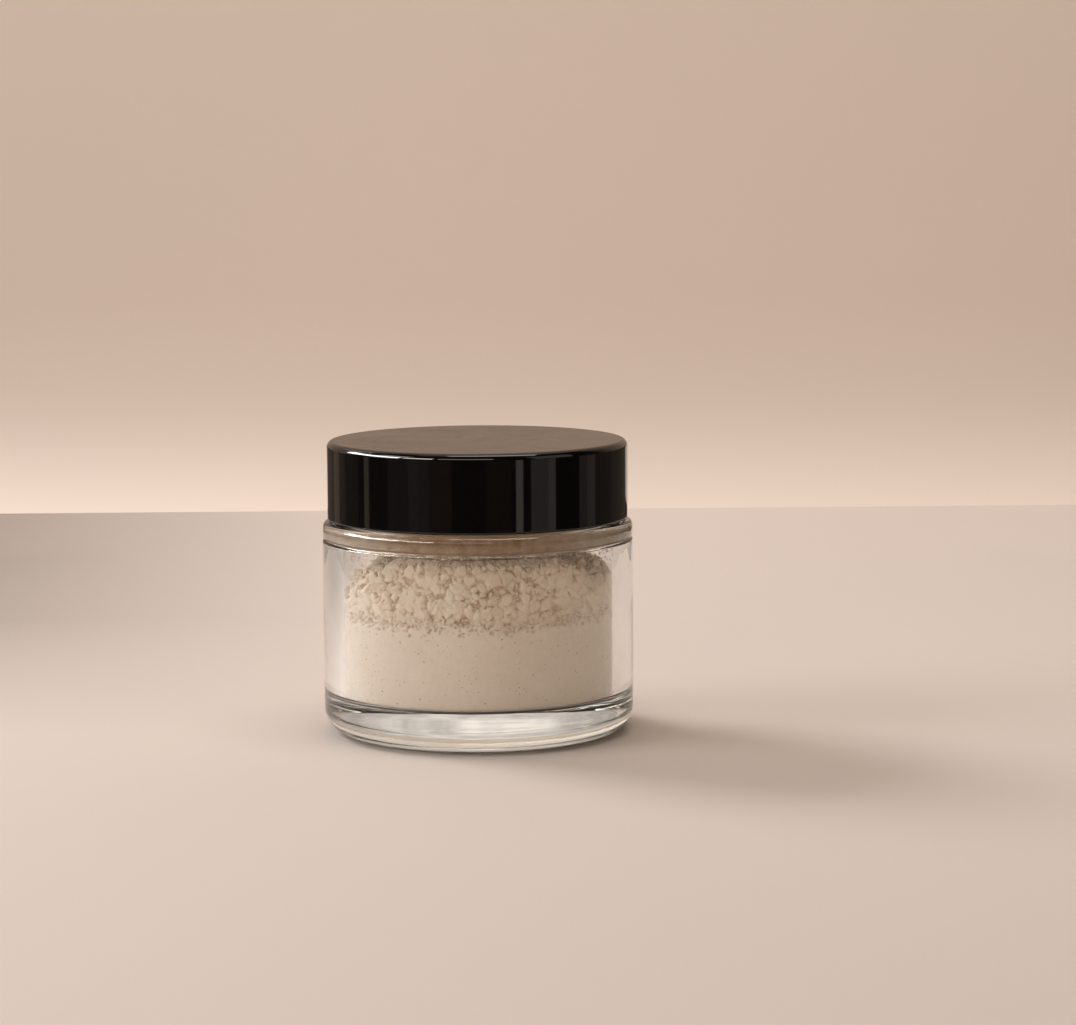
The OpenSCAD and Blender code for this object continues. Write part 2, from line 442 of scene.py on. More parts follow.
def liner_material():
    m = Mat("liner_foam")
    v = m.coords(1000.0)
    cell = m.node("TexVoronoi")
    cell.inputs["Scale"].default_value = 3.2
    m.link(v, cell.inputs["Vector"])
    stain = m.noise(v, 0.08, 4.0, 0.6, 0.6)
    col = m.ramp(stain, [(0.35, (0.80, 0.785, 0.75)), (0.75, (0.70, 0.67, 0.61))])
    powder = m.gray(m.noise(v, 0.5, 6.0, 0.7, 0.5), [(0.42, 0.25), (0.66, 0.9)])
    col = m.mix(powder, col, (0.76, 0.60, 0.45))
    b = m.bsdf(Base_Color=col, Roughness=0.62, IOR=1.5, Normal=m.bump(cell.outputs["Distance"], 0.25, 0.0001))
    m.link(b.outputs[0], m.out.inputs["Surface"])
    return m.m


GLASS = glass_material()
BED = powder_material("packed_powder", (0.84, 0.735, 0.630), (0.81, 0.695, 0.585), 0.85)
CLUMP = powder_material("clumped_powder", (0.85, 0.735, 0.61), (0.80, 0.665, 0.53), 0.35)
CAP = cap_material()
INSERT = insert_material()
LINER = liner_material()


# ---------------------------------------------------------------- glass jar
def throat(z):
    t = np.clip((z - WAIST_Z) / (THROAT_Z - WAIST_Z), 0, 1)
    return BORE_R + (INNER_R - BORE_R) * (1 + np.cos(math.pi * t)) / 2


def neck_thread(th, z):
    """Height of the thread over the neck's wall."""
    foot, slope, lead = 1.15, 0.65, math.radians(30)
    total = NECK_TURNS * TAU
    best = np.zeros_like(th)
    base = np.mod(th - math.radians(20), TAU)
    for k in (0, 1):
        a = base + k * TAU
        inside = a <= total
        e = np.clip(np.minimum(a, total - a) / lead, 0, 1)
        crest = (NECK_CREST - NECK_R) * np.sqrt(np.maximum(e * (2 - e), 0))
        dz = np.abs(z - (THREAD_LOW + PITCH * a / TAU))
        h = (foot - dz) / slope
        h = np.where(h > 0, h, 0)
        h = soft_cap(h, np.maximum(crest, 1e-4), np.maximum(crest, 1e-4) * 0.35)
        best = np.maximum(best, np.where(inside, np.clip(h, 0, crest), 0))
    return best


def make_glass():
    outer = [(0, PUNT)]
    us = [1 - (1 - i / 30) ** 2 for i in range(6, 30)]
    outer += [(RING_IN * u, PUNT * (1 - u**20)) for u in us if RING_IN * u < RING_IN - 0.12]
    outer += [(RING_IN - 0.06, 0.02), (RING_IN + 0.06, 0.0)]
    outer += arc(BODY_R - HEEL, HEEL, HEEL, -90, 0, 26)
    side = arc(BODY_R - 1.3, SHOULDER_Z - 1.3, 1.3, 0, 90, 12)
    groove = [(BODY_R - LINE_D * (1 - t * t) ** 1.5, LINE_Z + LINE_W * t) for t in np.linspace(-1, 1, 13)]
    root = arc(NECK_R + 0.8, SHOULDER_Z + 0.8, 0.8, 270, 180, 7)
    neck = [(NECK_R, z) for z in np.arange(root[-1][1] + 0.14, RIM_Z - 0.8, 0.14)]
    lip = arc(NECK_R - 0.8, RIM_Z - 0.8, 0.8, 0, 90, 9) + arc(BORE_R + 0.8, RIM_Z - 0.8, 0.8, 90, 180, 9)
    inner = [(float(throat(z)), z) for z in np.linspace(THROAT_Z, WAIST_Z, 34)]
    floor = arc(INNER_R - FILLET, FLOOR_Z + FILLET, FILLET, 0, -90, 18)
    prof = outer + groove + side + root
    prof = spaced(prof, 2.2) + neck + spaced(lip + inner + floor + [(0, FLOOR_Z)], 2.2)
    thick = wave(3, 1, 6)
    thick2 = wave(4, 3, 14)
    lo, hi = root[-1][1], RIM_Z - 0.8

    def warp(th, r, z):
        r0, z0 = r[0], z[0]
        if abs(r0 - NECK_R) < 1e-6 and lo < z0 < hi:
            r = r + neck_thread(th, z0)
        inside = z0 > FLOOR_Z + 0.5 and r0 < INNER_R + 0.01 and (z0 < THROAT_Z + 0.01 and r0 > BORE_R - 0.01) and not (z0 > SHOULDER_Z - 0.01)
        if inside and r0 > INNER_R - 3.6 and z0 < SHOULDER_Z:
            # the glass is never quite even in thickness
            f = min(1.0, max(0.0, (z0 - FLOOR_Z) / 3.0))
            r = r + f * (0.022 * thick(th) + 0.006 * thick2(th + 0.02 * z0)) + 0.03
        return r, z

    ob = lathe("glass_body", prof, 320, warp)
    give(ob, GLASS)
    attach(ob, "jar")
    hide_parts("glass_jar")
    return ob


# ---------------------------------------------------------------- powder
edge_slow, edge_mid, edge_fine = wave(11, 1, 3), wave(12, 5, 14), wave(13, 24, 70)


def bed_edge(th):
    """Height at which the smooth powder ends at the glass. It is lowest in front
    and climbs at the sides."""
    side = 0.5 - 0.5 * np.cos(2 * (th + math.pi / 2))  # 0 in front and behind, 1 at the sides
    return BED_TOP - 0.3 + 0.7 * side + 0.35 * edge_slow(th) + 0.4 * edge_mid(th) + 0.2 * edge_fine(th)


def smooth_step(x):
    x = np.clip(x, 0, 1)
    return x * x * (3 - 2 * x)


def contact_z(a):
    """Height up to which the clumps lie against the glass: nearly full before and
    behind, lower at the sides and lowest on the left."""
    side = np.abs(np.cos(a))
    low = 28.4 + 2.9 * (0.5 + 0.5 * np.cos(a))
    return low + (36.6 - low) * smooth_step((0.945 - side) / 0.37)


def heap_height(x, y):
    """Top of the heap of clumps: a steep sided dome."""
    rho = np.minimum(np.hypot(x, y) / INNER_R, 1.0)
    right = 0.5 + 0.5 * x / np.maximum(np.hypot(x, y), 1e-6)
    contact = contact_z(np.arctan2(y, x))
    return contact + (HEAP_TOP - 0.5 - contact) * (1 - rho ** (4.4 + 2.4 * right))


def make_bed():
    seg = 1000
    th = np.arange(seg) * TAU / seg
    g = np.random.default_rng(5)
    edge = bed_edge(th)
    r0, z0 = BED_R, BED_LO[2]
    rows = []  # each (r, z) as arrays of seg
    for t in (0.25, 0.5, 0.7, 0.85, 0.93):
        rows.append((np.full(seg, t * (r0 - FILLET)), np.full(seg, z0)))
    for r, z in arc(r0 - FILLET, z0 + FILLET, FILLET, -90, 0, 9):
        rows.append((np.full(seg, r), np.full(seg, z)))
    low = z0 + FILLET
    fine0 = BED_TOP - 6.0
    for z in np.arange(low + 0.5, fine0, 0.62):
        rows.append((np.full(seg, r0), np.full(seg, z)))
    n = 46
    for i in range(n + 1):
        t = i / n
        rows.append((np.full(seg, r0), fine0 + (edge - 0.35 - fine0) * t))
    # round over at the top and run in under the clumps
    for a in (20, 40, 60, 78, 90):
        c = 0.55
        rows.append((r0 - c * (1 - math.cos(math.radians(a))), edge - 0.35 + c * math.sin(math.radians(a)) * 0.64))
    for d in (1.1, 1.8, 2.8, 4.5, 8.0, 14.0, 20.0):
        rows.append((np.full(seg, r0 - d), edge * max(0.0, 1 - d / 6) + BED_TOP * min(1.0, d / 6)))
    R = np.array([np.broadcast_to(r, (seg,)) for r, _ in rows])
    Z = np.array([np.broadcast_to(z, (seg,)) for _, z in rows])
    T = np.broadcast_to(th, R.shape)
    # pits against the glass, thick just under the clumps and rare further down
    depth = np.zeros_like(R)
    pits = []
    for _ in range(900):
        a = g.uniform(0, TAU)
        e = float(bed_edge(np.array([a]))[0])
        pits.append((a, e - 0.15 - abs(g.normal(0, 0.9)), g.uniform(0.10, 0.36), g.uniform(0.12, 0.5)))
    for _ in range(420):
        a = g.uniform(0, TAU)
        e = float(bed_edge(np.array([a]))[0])
        pits.append((a, e - abs(g.normal(0, 3.2)), g.uniform(0.07, 0.2), g.uniform(0.08, 0.2)))
    side = (Z > low - 0.5) & (R > r0 - 0.7)
    for a, z, r, d in pits:
        j = np.arange(int((a - 1.6 * r / r0) / TAU * seg) - 1, int((a + 1.6 * r / r0) / TAU * seg) + 2) % seg
        dz = Z[:, j] - z
        da = (T[:, j] - a + math.pi) % TAU - math.pi
        q = ((da * r0) ** 2 + dz**2) / (r * r)
        depth[:, j] = np.maximum(depth[:, j], d * np.exp(-(q**1.5)) * side[:, j])
    noise = value_noise(8)
    P = np.stack([R * np.cos(T), R * np.sin(T), Z], -1).reshape(-1, 3)
    rough = (0.5 * noise(P * 1.1) + 0.3 * noise(P * 2.6) + 0.2 * noise(P * 5.5)).reshape(R.shape)
    near = np.clip(1 - (np.broadcast_to(edge, R.shape) - Z) / 2.6, 0, 1)  # 0 well under the edge, 1 at it
    depth += np.where(side, np.maximum(0, rough + 0.25 * near - 0.1) * 0.5 * near**1.5, 0)
    depth += np.where(side, 0.02 * (rough + 0.5), 0)
    R2 = R - np.clip(depth, 0, 0.9)
    v = np.stack([R2 * np.cos(T), R2 * np.sin(T), Z], -1).reshape(-1, 3)
    m = len(rows)
    j = np.arange(seg)
    k = (j + 1) % seg
    quads = np.concatenate([np.stack([i * seg + j, i * seg + k, (i + 1) * seg + k, (i + 1) * seg + j], 1) for i in range(m - 1)])
    c0 = len(v)
    v = np.concatenate([v, [[0, 0, z0], [0, 0, BED_TOP]]])
    i = (m - 1) * seg
    tris = np.concatenate([np.stack([np.full(seg, c0), k, j], 1), np.stack([np.full(seg, c0 + 1), i + j, i + k], 1)])
    ob = fast_mesh("packed_bed", v, [quads, tris])
    # painted shade: the bed's tone darkens with how far it is pressed in from the glass, in the pits and along the
    # rough edge under the clumps
    tone_and_shade = ob.data.attributes.new("tone_and_shade", "FLOAT", "POINT")
    t = np.zeros(len(v), np.float32)
    t[: m * seg] = np.clip(depth * 1.3, 0, 0.8).ravel()
    tone_and_shade.data.foreach_set("value", t)
    give(ob, BED)
    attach(ob, "jar")
    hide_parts("powder_bed")
    return ob


def icosphere(level):
    import bmesh

    bm = bmesh.new()
    bmesh.ops.create_icosphere(bm, subdivisions=level, radius=1.0)
    v = np.array([x.co for x in bm.verts])
    f = np.array([[y.index for y in x.verts] for x in bm.faces])
    bm.free()
    return v, f


def pack_clumps():
    """Centres and sizes of the clumps over the top of the heap, large ones first,
    each clear of the ones before."""
    g = np.random.default_rng(21)
    pos, rad = np.zeros((0, 3)), np.zeros(0)

    def place(tries, lo, hi, deep, close, where):
        nonlocal pos, rad
        for _ in range(tries):
            r = g.uniform(lo, hi)
            a = g.uniform(0, TAU)
            rho = (BED_R - 0.6 * r) * g.random() ** where
            x, y = rho * math.cos(a), rho * math.sin(a)
            z = float(heap_height(np.array(x), np.array(y))) - r * g.uniform(0.6, 0.95) - deep * g.random() ** 2
            if z + r > HEAP_TOP - 0.1:
                z = HEAP_TOP - 0.1 - r
            if math.hypot(x, y) + 0.8 * r > float(throat(z + r)) - 0.1 and z > WAIST_Z - 1:
                continue
            p = np.array([x, y, z])
            if len(pos):
                d = np.linalg.norm(pos - p, axis=1)
                if (d < close * (rad + r)).any():
                    continue
            pos = np.vstack([pos, p])
            rad = np.append(rad, r)

    place(600, 1.2, 1.7, 1.0, 0.82, 0.45)
    place(3500, 0.9, 1.35, 1.2, 0.80, 0.42)
    place(6000, 0.55, 0.85, 1.2, 0.80, 0.38)
    place(7000, 0.34, 0.5, 1.0, 0.80, 0.38)
    n_pack = len(rad)
    # crumbs along the edge of the bed
    for _ in range(500):
        a = g.uniform(0, TAU)
        e = float(bed_edge(np.array([a]))[0])
        r = g.uniform(0.12, 0.3)
        z = e + g.normal(0.2, 0.5)
        p = np.array([(BED_R - 0.5 * r) * math.cos(a), (BED_R - 0.5 * r) * math.sin(a), z])
        d = np.linalg.norm(pos - p, axis=1)
        if (d < 0.72 * (rad + r)).any():
            continue
        pos = np.vstack([pos, p])
        rad = np.append(rad, r)
    return pos, rad, n_pack


def make_clumps():
    pos, rad, n_pack = pack_clumps()
    g = np.random.default_rng(33)
    ico = {lv: icosphere(lv) for lv in (2, 3, 4)}
    noise = value_noise(17)
    groups = {}
    # some neighbours are one lump, with no gap between them
    lump = np.arange(len(rad))
    for i in range(n_pack):
        if g.random() > 0.55:
            continue
        d = np.linalg.norm(pos[:n_pack] - pos[i], axis=1) / (rad[:n_pack] + rad[i])
        d[i] = 9
        j = int(d.argmin())
        if d[j] < 1.15 and (lump == lump[i]).sum() + (lump == lump[j]).sum() <= 3:
            lump[lump == lump[i]] = lump[j]
    base_tone = np.maximum(0, g.normal(0.07, 0.11, len(rad)))[lump]
    for i in range(len(rad)):
        r, c = rad[i], pos[i]
        level = 4 if r > 1.75 else 3 if r > 0.72 else 2
        sv, sf = ico[level]
        # a squashed ball, turned at random
        q = g.normal(size=(3, 3))
        q, _r = np.linalg.qr(q)
        s = r * np.array([g.uniform(1.35, 1.8), g.uniform(1.1, 1.35), g.uniform(0.85, 1.1)])
        v = (sv * s) @ q.T
        # broken faces
        for _ in range(g.integers(6, 11)):
            n = g.normal(size=3)
            n /= np.linalg.norm(n)
            h = r * g.uniform(0.72, 1.12)
            d = v @ n
            v = v + (soft_cap(d, h, 0.14 * r) - d)[:, None] * n
        crease_shade = np.zeros(len(v))
        # faces shared with its neighbours, with a thin gap; painted shade darkens the tone on these faces
        gap = g.uniform(0.03, 0.11)
        dist = np.linalg.norm(pos - c, axis=1)
        near = np.where((dist < 1.5 * (rad + r)) & (dist > 1e-6))[0]
        for j in near[np.argsort(dist[near])][:16]:
            n = (pos[j] - c) / dist[j]
            h = dist[j] * r / (r + rad[j]) - gap * 0.5
            if h > 1.5 * r or lump[j] == lump[i]:
                continue
            h = max(h, 0.3 * r)
            d = v @ n
            v = v + (soft_cap(d, h, 0.18 * r) - d)[:, None] * n
            crease_shade = np.maximum(crease_shade, np.clip((v @ n - (h - 0.08 * r)) / (0.08 * r), 0, 1))
        w = v + c
        # rough skin
        k = w / max(r, 0.5)
        bumps = 0.045 * r * noise(k * 2.1 + i) + 0.03 * min(r, 1.2) * noise(w * 3.1) + 0.012 * noise(w * 8.0)
        unit = v / np.maximum(np.linalg.norm(v, axis=1), 1e-6)[:, None]
        w = w + unit * bumps[:, None]
        # pressed on the glass
        rho = np.hypot(w[:, 0], w[:, 1])
        wall = np.where(w[:, 2] > WAIST_Z, np.minimum(BED_R, throat(w[:, 2]) - 0.3), BED_R) - 0.03
        keep = soft_cap(rho, wall, 0.25 * min(r, 1.0))
        w[:, :2] *= (keep / np.maximum(rho, 1e-6))[:, None]
        w[:, 2] = np.minimum(w[:, 2], HEAP_TOP - 0.02)
        shade = 0.28 * np.clip((w[:, 2] - 32.5) / 6.0, 0, 1)  # painted shade: browner towards the neck, where the cap keeps light off
        tone_and_shade = np.clip(base_tone[i] + 0.5 * crease_shade + shade, 0, 0.9)
        a = math.atan2(c[1], c[0])
        over = math.hypot(c[0], c[1]) < BED_R - 3.2 or c[2] > 32.5
        part = "top_" + "ab"[int(a < 0)] if over and c[2] > 30 else "side_" + "abcd"[int((a % TAU) / TAU * 4) % 4]
        groups.setdefault(part, []).append((w, sf, tone_and_shade))
    out = []
    for part, items in sorted(groups.items()):
        vs, fs, ts, n = [], [], [], 0
        for w, sf, tone_and_shade in items:
            vs.append(w)
            fs.append(sf + n)
            ts.append(tone_and_shade.astype(np.float32))
            n += len(w)
        ob = fast_mesh("clumps_" + part, np.concatenate(vs), [np.concatenate(fs)])
        at = ob.data.attributes.new("tone_and_shade", "FLOAT", "POINT")
        at.data.foreach_set("value", np.concatenate(ts))
        give(ob, CLUMP)
        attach(ob, "jar")
        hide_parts("powder_clumps")
        print("CLUMPS", part, len(items), "tris", len(ob.data.polygons))
        out.append(ob)
    # the powder behind the clumps
    core = [(0, BED_TOP - 0.3)]
    core += [(BED_R - 2.6, BED_TOP - 0.3), (BED_R - 2.1, BED_TOP + 0.6), (BED_R - 2.1, 27.4)]
    for t in np.linspace(0.90, 0.0, 16):
        core.append((t * BED_R * 1.0 if t else 0.0, None))
    g2 = value_noise(29)

    def warp(th, r, z):
        if np.isnan(z[0]):
            x, y = r * np.cos(th), r * np.sin(th)
            z = heap_height(x, y) - 1.3
        p = np.stack([r * np.cos(th), r * np.sin(th), z], 1)
        n = 0.5 * g2(p * 0.55) + 0.35 * g2(p * 1.3) + 0.2 * g2(p * 3.0)
        if z[0] > BED_TOP:
            r = r + 0.45 * n - 0.1
            z = z + 0.6 * n * (r < BED_R - 4)
        return r, z

    top_z = HEAP_TOP - 0.5 - 1.3
    prof = [(r, float("nan") if z is None else z) for r, z in core]
    prof[-1] = (0.0, top_z)
    ob = lathe("clump_core", prof, 360, warp)
    # painted shade: the powder behind the clumps, seen only through their gaps, gets a dark even tone
    at = ob.data.attributes.new("tone_and_shade", "FLOAT", "POINT")
    at.data.foreach_set("value", np.full(len(ob.data.vertices), 0.55, np.float32))
    give(ob, CLUMP)
    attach(ob, "jar")
    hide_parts("powder_clumps")
    out.append(ob)
    return out


def make_pressed():
    """Clumps pressed against the glass: overlapping flakes over a matrix of dust."""
    cols, rows = 1280, 112
    g = np.random.default_rng(57)
    th = np.arange(cols) * TAU / cols
    edge, top = bed_edge(th), contact_z(th) + 1.0
    z0 = 22.6
    t = np.linspace(0, 1, rows)[:, None]
    Z = z0 + (top - z0)[None] * t
    U = np.broadcast_to(th * BED_R, Z.shape)
    P = np.stack([BED_R * np.cos(th)[None] + 0 * Z, BED_R * np.sin(th)[None] + 0 * Z, Z], -1).reshape(-1, 3)
    n1, n2 = value_noise(58), value_noise(59)
    mid, small = n1(P * 0.9).reshape(Z.shape), n2(P * 3.3).reshape(Z.shape)
    H = -0.62 + 0.22 * mid + 0.10 * small
    tone_and_shade = 0.10 + 0.06 * mid
    girth = TAU * BED_R

    def flake(u, z, a, b, phi, h, tx, ty, tint, k, rim_shade=0.42):
        nonlocal H, tone_and_shade
        reach = 1.15 * a
        j = np.arange(math.floor((u - reach) / girth * cols), math.ceil((u + reach) / girth * cols) + 1) % cols
        du = (U[:, j] - u + girth / 2) % girth - girth / 2
        dz = Z[:, j] - z
        c, s = math.cos(phi), math.sin(phi)
        x, y = (du * c + dz * s) / a, (dz * c - du * s) / b
        ang = np.arctan2(y, x)
        q = np.hypot(x, y) * (1 + k[0] * np.cos(2 * ang + k[1]) + k[2] * np.cos(3 * ang + k[3]) + 0.5 * k[2] * np.cos(5 * ang + k[4]))
        drop = 0.75 * b * np.clip(q, 0, 1.4) ** k[5]
        h = h + tx * du + ty * dz - drop
        ok = (q < 1.3) & (h > H[:, j])
        H[:, j] = np.where(ok, h, H[:, j])
        # painted shade: each flake's tone darkens towards its edge, a thin brown line where flakes meet
        tone_and_shade[:, j] = np.where(ok, tint + rim_shade * smooth_step((q - 0.80) / 0.32), tone_and_shade[:, j])

    def scatter(count, lo, hi, h0, h1):
        for _ in range(count):
            a = g.uniform(lo, hi)
            b = a * g.uniform(0.42, 0.85)
            u = g.uniform(0, girth)
            e = float(bed_edge(np.array([u / BED_R]))[0])
            z = g.uniform(e - 0.1 * a, float(contact_z(np.array([u / BED_R]))[0]) + 1.0)
            # long flakes lie aslant more often than flat or upright
            phi = g.choice([0.6, -0.6, 1.2, -1.2, 0.0]) + g.normal(0, 0.45)
            flake(u, z, a, b, phi, g.uniform(h0, h1), g.normal(0, 0.16), g.normal(0, 0.16),
                  max(0.0, g.normal(0.06, 0.09)), (g.uniform(0, 0.10), g.uniform(0, TAU), g.uniform(0.03, 0.13), g.uniform(0, TAU), g.uniform(0, TAU), g.uniform(2.6, 5.0)))

    scatter(2600, 0.22, 0.5, -0.55, -0.2)
    scatter(1300, 0.6, 1.1, -0.42, 0.05)
    scatter(620, 1.1, 2.0, -0.24, 0.15)
    scatter(1000, 0.16, 0.32, -0.40, -0.05)
    H = np.where(H > -0.10, -0.10 + 0.08 * np.tanh((H + 0.10) / 0.08), H)  # flat on the glass
    H = H + 0.022 * small + 0.012 * value_noise(60)(P * 7.5).reshape(Z.shape)
    # painted shade: darker where the surface lies back from the glass, in the gaps, and browner towards the neck under
    # the cap
    tone_and_shade = tone_and_shade + 0.62 * smooth_step((-H - 0.28) / 0.5) + 0.15 * np.clip((Z - 32.5) / 6.0, 0, 1)
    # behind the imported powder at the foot, and in over the heap at the head
    H = H - 1.1 * smooth_step((edge[None] - 0.25 - Z) / 0.9)
    over = np.maximum(Z - (top[None] - 2.2), 0)
    H = H - 0.42 * over**2
    R = np.minimum(BED_R + H, np.where(Z > WAIST_Z - 0.2, throat(Z) - 0.25, BED_R)) - 0.02
    for half in (0, 1):
        n = cols // 2
        j = (np.arange(n + 1) + half * n) % cols
        r, z = R[:, j], Z[:, j]
        inner = np.full((1, n + 1), BED_R - 3.4)
        r = np.concatenate([inner, r, inner])
        z = np.concatenate([z[:1], z, z[-1:] - 0.6])
        m = rows + 2
        v = np.stack([r * np.cos(th[j]), r * np.sin(th[j]), z], -1).reshape(-1, 3)
        a, b = np.meshgrid(np.arange(m), np.arange(n), indexing="ij")
        a, b = a.ravel(), b.ravel()
        w = n + 1
        a2 = (a + 1) % m
        quads = np.stack([a * w + b, a * w + b + 1, a2 * w + b + 1, a2 * w + b], 1)
        ends = [np.arange(m)[None] * w, (np.arange(m)[::-1] * w + n)[None]]
        ob = fast_mesh(f"pressed_clumps_{half}", v, [quads, *ends])
        at = ob.data.attributes.new("tone_and_shade", "FLOAT", "POINT")
        full = np.concatenate([np.full((1, n + 1), 0.5), tone_and_shade[:, j], np.full((1, n + 1), 0.5)])
        at.data.foreach_set("value", np.clip(full, 0, 0.9).astype(np.float32).ravel())
        give(ob, CLUMP)
        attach(ob, "jar")
        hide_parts("powder_clumps")


def make_dust():
    """Fine powder that clings to the throat and the mouth, in drifts and streaks."""
    g = np.random.default_rng(71)
    drift = value_noise(72)
    n = 14000
    th = g.uniform(0, TAU, n)
    z = np.where(g.random(n) < 0.62, g.uniform(WAIST_Z - 2.5, THROAT_Z + 1, n), g.uniform(THROAT_Z, RIM_Z - 1.2, n))
    p = np.stack([9 * np.cos(th), 9 * np.sin(th), z * 0.10], 1)
    fine = np.stack([26 * np.cos(th) * 1.2, 26 * np.sin(th) * 1.2, z * 0.35], 1)
    thick = 0.55 + 0.35 * drift(p) + 0.25 * drift(fine) - 0.055 * np.maximum(z - THROAT_Z, 0) - 0.35 * np.clip((WAIST_Z - z) / 2.5, 0, 1)
    keep = g.random(n) < thick
    th, z = th[keep], z[keep]
    r = g.gamma(2.2, 0.045, len(z)).clip(0.05, 0.26)
    wall = throat(z) - 0.035
    # lie on the slope of the glass
    slope = (throat(z + 0.05) - throat(z - 0.05)) / 0.1
    tilt = np.arctan(slope)
    v0, f0 = icosphere(1)
    count = len(z)
    jig = g.uniform(0.7, 1.25, (count, len(v0), 1))
    v = v0[None] * jig * r[:, None, None]
    v = v * np.stack([np.full(count, 0.45), g.uniform(0.8, 1.3, count), g.uniform(0.8, 1.5, count)], 1)[:, None]
    ct, st = np.cos(tilt)[:, None], np.sin(tilt)[:, None]
    out, up = v[..., 0] * ct + v[..., 2] * st, v[..., 2] * ct - v[..., 0] * st
    rho = wall[:, None] - 0.4 * r[:, None] * ct + out
    up = z[:, None] + 0.4 * r[:, None] * st + up
    rho = np.minimum(rho, throat(up) - 0.03)
    c, s = np.cos(th)[:, None], np.sin(th)[:, None]
    w = np.stack([rho * c - v[..., 1] * s, rho * s + v[..., 1] * c, up], -1).reshape(-1, 3)
    f = (f0[None] + (np.arange(count) * len(v0))[:, None, None]).reshape(-1, 3)
    ob = fast_mesh("neck_dust", w, [f])
    at = ob.data.attributes.new("tone_and_shade", "FLOAT", "POINT")
    at.data.foreach_set("value", np.full(len(w), 0.30, np.float32))
    give(ob, CLUMP)
    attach(ob, "jar")
    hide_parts("powder_clumps")
    print("DUST", count, "tris", len(f))


def make_film():
    """The film of powder that sticks to the inside of the shoulder, with
    a ragged lower edge and worn streaks. Its dark brown is partly the dust's own
    colour and partly painted shade under the cap; it is paler to both sides as
    painted light."""
    cols, rows = 720, 48
    th = np.arange(cols) * TAU / cols
    g1, g2 = wave(84, 2, 9), wave(85, 20, 70)
    foot = WAIST_Z + 1.45 + 0.16 * g1(th) + 0.14 * g2(th)
    Z = foot[None] + (THROAT_Z + 1.4 - foot[None]) * np.linspace(0, 1, rows)[:, None]
    wall = throat(Z)
    P = np.stack([wall * np.cos(th)[None], wall * np.sin(th)[None], Z * 1.0], -1).reshape(-1, 3)
    broad = value_noise(81)(P * (0.10, 0.10, 0.35)).reshape(Z.shape)
    fine = value_noise(82)(P * (0.7, 0.7, 1.6)).reshape(Z.shape)
    grain = value_noise(83)(P * 3.1).reshape(Z.shape)
    cover = 0.95 + 0.45 * broad + 0.40 * fine + 0.35 * grain
    out = wall - 0.06 + 0.18 * smooth_step((cover - 0.05) / 0.25)
    inner = wall - 0.45 - 0.1 * grain
    side_light = smooth_step((np.abs(np.cos(th))[None] - 0.40) / 0.45)  # painted light: paler to both sides
    # painted shade: a deep brown tone stands in for the shade under the cap
    shade = 0.84 - 0.62 * side_light + 0.18 * fine + 0.10 * grain + 0.12 * broad - 0.10 * smooth_step((Z - THROAT_Z) / 1.2)
    r = np.concatenate([out, inner[::-1]])
    zz = np.concatenate([Z, Z[::-1]])
    m = 2 * rows
    v = np.stack([r * np.cos(th)[None], r * np.sin(th)[None], zz], -1).reshape(-1, 3)
    a, b = np.meshgrid(np.arange(m), np.arange(cols), indexing="ij")
    a, b = a.ravel(), b.ravel()
    a2, b2 = (a + 1) % m, (b + 1) % cols
    quads = np.stack([a * cols + b, a * cols + b2, a2 * cols + b2, a2 * cols + b], 1)
    ob = fast_mesh("shoulder_dust_and_shade", v, [quads])
    at = ob.data.attributes.new("tone_and_shade", "FLOAT", "POINT")
    at.data.foreach_set("value", np.clip(np.concatenate([shade, shade[::-1]]), 0, 1).astype(np.float32).ravel())
    give(ob, CLUMP)
    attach(ob, "jar")
    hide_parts("powder_clumps")


# ---------------------------------------------------------------- cap
def make_cap():
    top_in = INS_HI[2] + 0.05
    prof = arc(CAP_R - 0.35, CAP_Z + 0.35, 0.35, -90, 0, 6)
    prof += arc(CAP_R - 1.3, CAP_TOP - 1.3, 1.3, 0, 90, 16)
    outer = spaced(prof, 2.0)
    top = spaced([(CAP_R - 1.3, CAP_TOP), (0.0, CAP_TOP)], 2.5)[1:]
    shell = outer + top
    inner = [(0.0, top_in)] + spaced([(0.0, top_in), (SHELL_IN - 0.6, top_in)], 3.0)[1:]
    inner += arc(SHELL_IN - 0.6, top_in - 0.6, 0.6, 90, 0, 6)
    inner += [(SHELL_IN, CAP_Z + 1.2), (SHELL_IN, CAP_Z + 0.7), (SHELL_IN - 0.06, CAP_Z + 0.56), (SHELL_IN - 0.24, CAP_Z + 0.4),
              (SHELL_IN - 0.3, CAP_Z + 0.3), (SHELL_IN - 0.28, CAP_Z + 0.2), (SHELL_IN - 0.16, CAP_Z + 0.06), (SHELL_IN - 0.04, CAP_Z)]
    # one closed skin: over the outside to the middle of the top, and back from the
    # middle of the underside down the inside
    seg = 320
    th = np.arange(seg) * TAU / seg
    rings = [p for p in shell if p[0] > 1e-6] + [None] + [p for p in inner if p[0] > 1e-6]
    cut = rings.index(None)
    rings.pop(cut)
    v = np.concatenate([np.stack([r * np.cos(th), r * np.sin(th), np.full(seg, z)], 1) for r, z in rings])
    n = len(rings)
    j = np.arange(seg)
    k = (j + 1) % seg
    quads = []
    for i in range(n):
        if i == cut - 1:
            continue
        a, b = i, (i + 1) % n
        quads.append(np.stack([a * seg + j, a * seg + k, b * seg + k, b * seg + j], 1))
    c0 = len(v)
    v = np.concatenate([v, [[0, 0, CAP_TOP], [0, 0, top_in]]])
    i = (cut - 1) * seg
    tris = np.concatenate([
        np.stack([np.full(seg, c0), i + j, i + k], 1),
        np.stack([np.full(seg, c0 + 1), cut * seg + k, cut * seg + j], 1),
    ])
    ob = fast_mesh("cap_outer", v, [np.concatenate(quads), tris])
    give(ob, CAP)
    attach(ob, "cap")
    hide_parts("cap_shell")
    return ob


